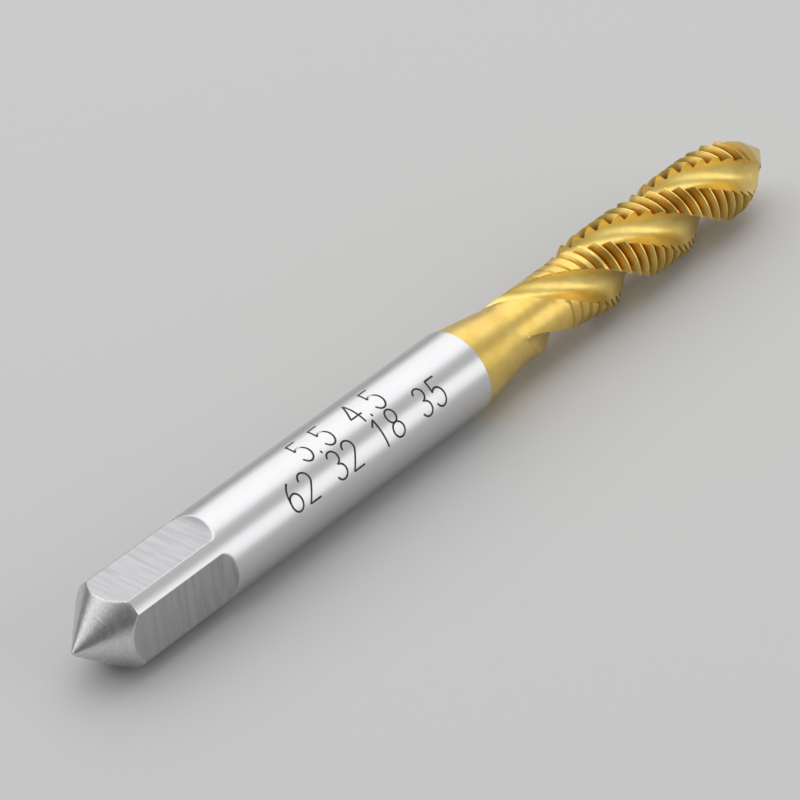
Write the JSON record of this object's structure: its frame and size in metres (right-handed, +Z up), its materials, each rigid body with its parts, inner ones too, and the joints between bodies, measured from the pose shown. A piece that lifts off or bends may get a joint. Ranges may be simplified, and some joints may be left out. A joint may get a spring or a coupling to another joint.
{
  "type": "thread tap",
  "caption": "Spiral flute machine tap with a plain round shank, a driving square, a slim neck and male centres at both ends, for cutting a fine metric internal thread.",
  "frame": {"origin": "middle of the bounding box at the surface the shank lies on", "axes": "+X along the tap's axis from the driving square towards the cutting point, +Z up, square to the upper flat of the driving square"},
  "size_m": [0.062, 0.0054, 0.0055],
  "materials": {
    "tap_steel": "ground steel on the shank, gold titanium nitride coating from the shoulder to the point"
  },
  "bodies": {
    "root": {"tap": "tap_steel"}
  },
  "joints": []
}
